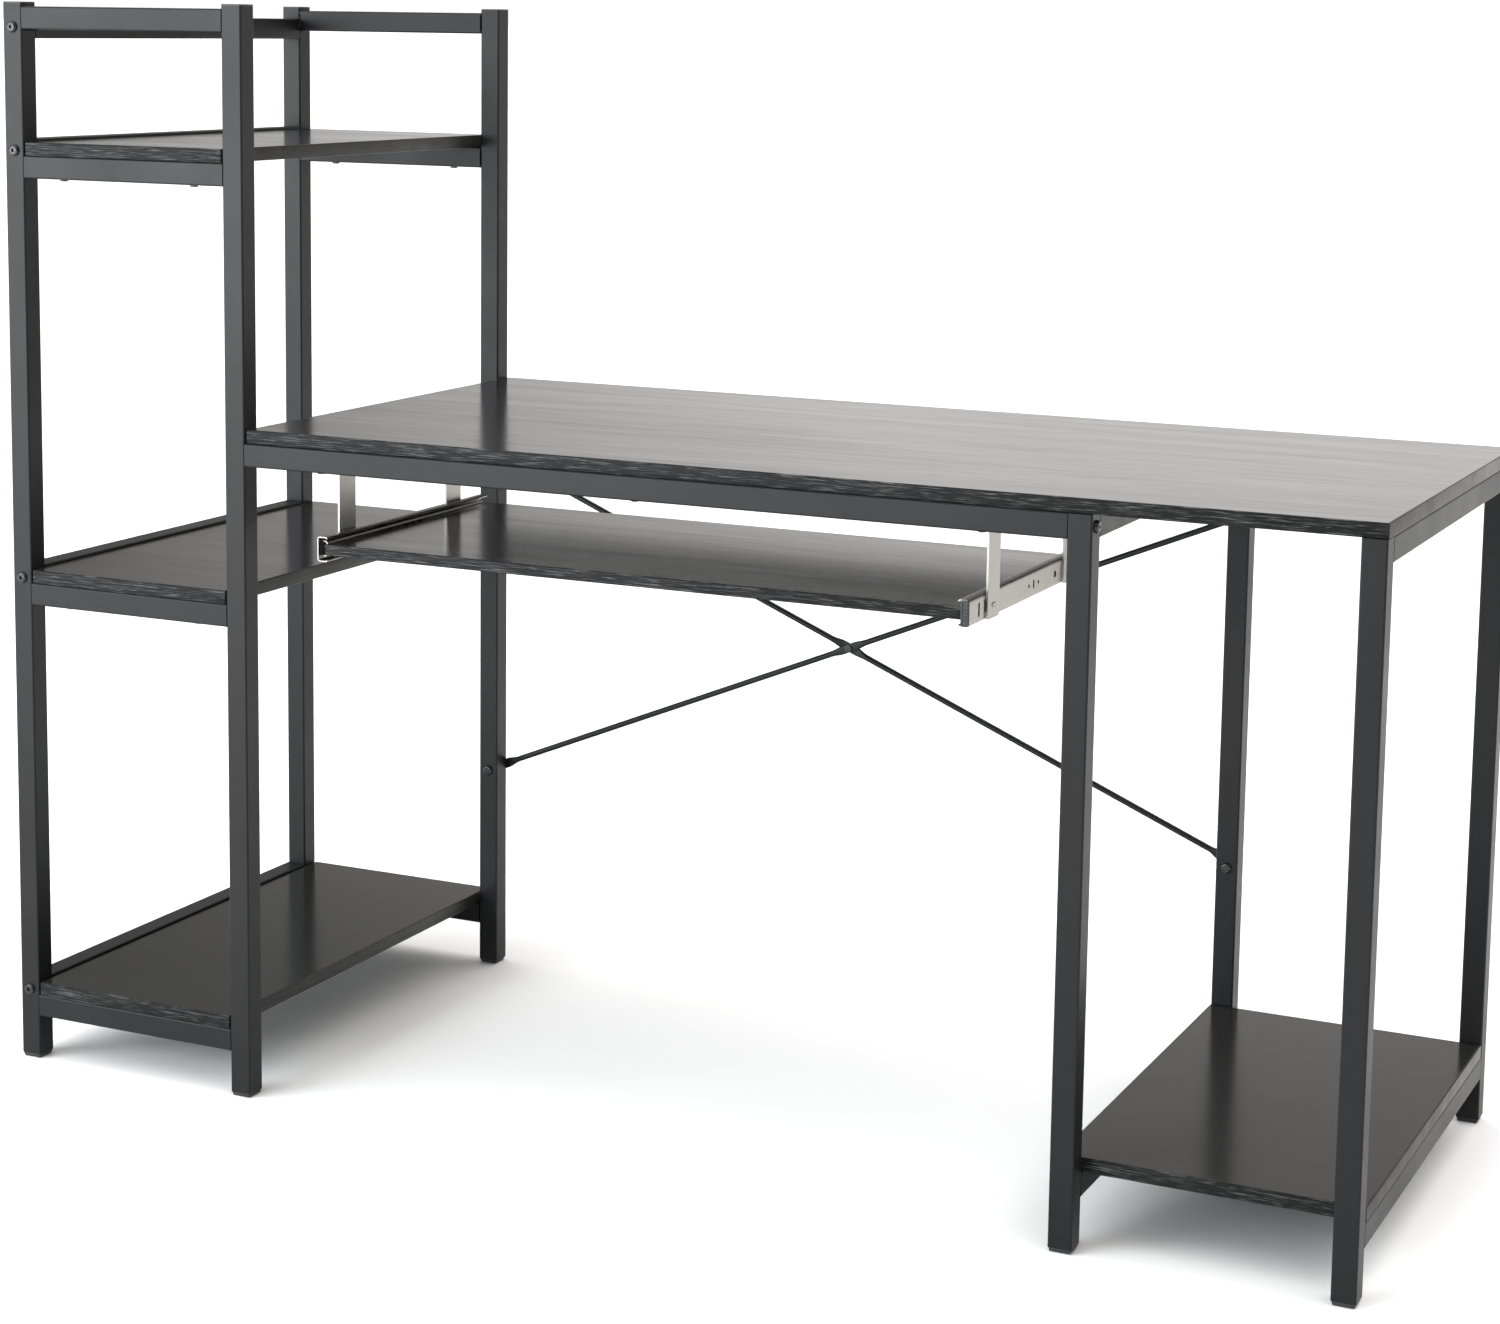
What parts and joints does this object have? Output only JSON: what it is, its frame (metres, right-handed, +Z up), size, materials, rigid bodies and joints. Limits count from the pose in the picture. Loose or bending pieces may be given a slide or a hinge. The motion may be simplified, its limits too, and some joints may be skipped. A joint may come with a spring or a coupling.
{
  "type": "computer desk with keyboard tray",
  "caption": "Steel tube desk with laminated boards, an open shelf tower at the left, a low shelf at the right and a keyboard tray that slides out on ball-bearing slides.",
  "frame": {"origin": "on the floor under the middle of the frames' footprint", "axes": "+X along the desk, from the shelf tower to the low-shelf end; +Y from the user's side to the back; +Z up"},
  "size_m": [1.55, 0.5865, 1.2],
  "materials": {
    "black_powder_coat": "fine satin powder coat",
    "wood_grain_laminate": "black laminate with pressed wood grain along the length",
    "zinc_plate": "bright zinc plate",
    "ball_steel": "polished",
    "black_bolts": "black oxide, glossy",
    "black_plastic": "moulded, satin"
  },
  "bodies": {
    "frame": {"board_screws": "black_bolts", "brace_bolts": "black_bolts", "brace_nuts": "black_bolts", "brace_rivet": "black_bolts", "brace_rod_falling": "black_powder_coat", "brace_rod_rising": "black_powder_coat", "desk_rail_back": "black_powder_coat", "desk_rail_front": "black_powder_coat", "desktop": "wood_grain_laminate", "foot_glides": "black_plastic", "frame_bolts": "black_bolts", "hanger_screws": "zinc_plate", "low_shelf": "wood_grain_laminate", "middle_frame_rail_bottom": "black_powder_coat", "middle_frame_rail_top": "black_powder_coat", "middle_post_back": "black_powder_coat", "middle_post_front": "black_powder_coat", "post_caps": "black_plastic", "rail_nut_plates": "zinc_plate", "right_frame_rail_bottom": "black_powder_coat", "right_frame_rail_top": "black_powder_coat", "right_post_back": "black_powder_coat", "right_post_front": "black_powder_coat", "slide_bracket_back_left": "zinc_plate", "slide_bracket_back_right": "zinc_plate", "slide_bracket_front_left": "zinc_plate", "slide_bracket_front_right": "zinc_plate", "slide_outer_left": "zinc_plate", "slide_outer_right": "zinc_plate", "tower_back_rail_lower": "black_powder_coat", "tower_back_rail_middle": "black_powder_coat", "tower_back_rail_top": "black_powder_coat", "tower_back_rail_upper": "black_powder_coat", "tower_front_rail_lower": "black_powder_coat", "tower_front_rail_middle": "black_powder_coat", "tower_front_rail_top": "black_powder_coat", "tower_front_rail_upper": "black_powder_coat", "tower_post_back_left": "black_powder_coat", "tower_post_back_right": "black_powder_coat", "tower_post_front_left": "black_powder_coat", "tower_post_front_right": "black_powder_coat", "tower_shelf_lower": "wood_grain_laminate", "tower_shelf_middle": "wood_grain_laminate", "tower_shelf_upper": "wood_grain_laminate", "tower_side_rail_lower": "black_powder_coat", "tower_side_rail_middle": "black_powder_coat", "tower_side_rail_top": "black_powder_coat", "tower_side_rail_upper": "black_powder_coat"},
    "tray": {"slide_bumper": "black_plastic", "slide_inner_left": "zinc_plate", "slide_inner_right": "zinc_plate", "tray_board": "wood_grain_laminate", "tray_screws": "zinc_plate"},
    "ball_cages": {"ball_cage_left": "zinc_plate", "ball_cage_right": "zinc_plate", "slide_balls": "ball_steel"}
  },
  "joints": [
    {"name": "tray_slide", "type": "slide", "parent": "frame", "child": "tray", "axis": [0, -1, 0], "range_m": [0, 0.24]},
    {"name": "cage_travel", "type": "slide", "parent": "frame", "child": "ball_cages", "axis": [0, -1, 0], "range_m": [0, 0.12]}
  ],
  "couplings": [
    {"joint": "cage_travel", "follows": "tray_slide", "ratio": 0.5}
  ]
}
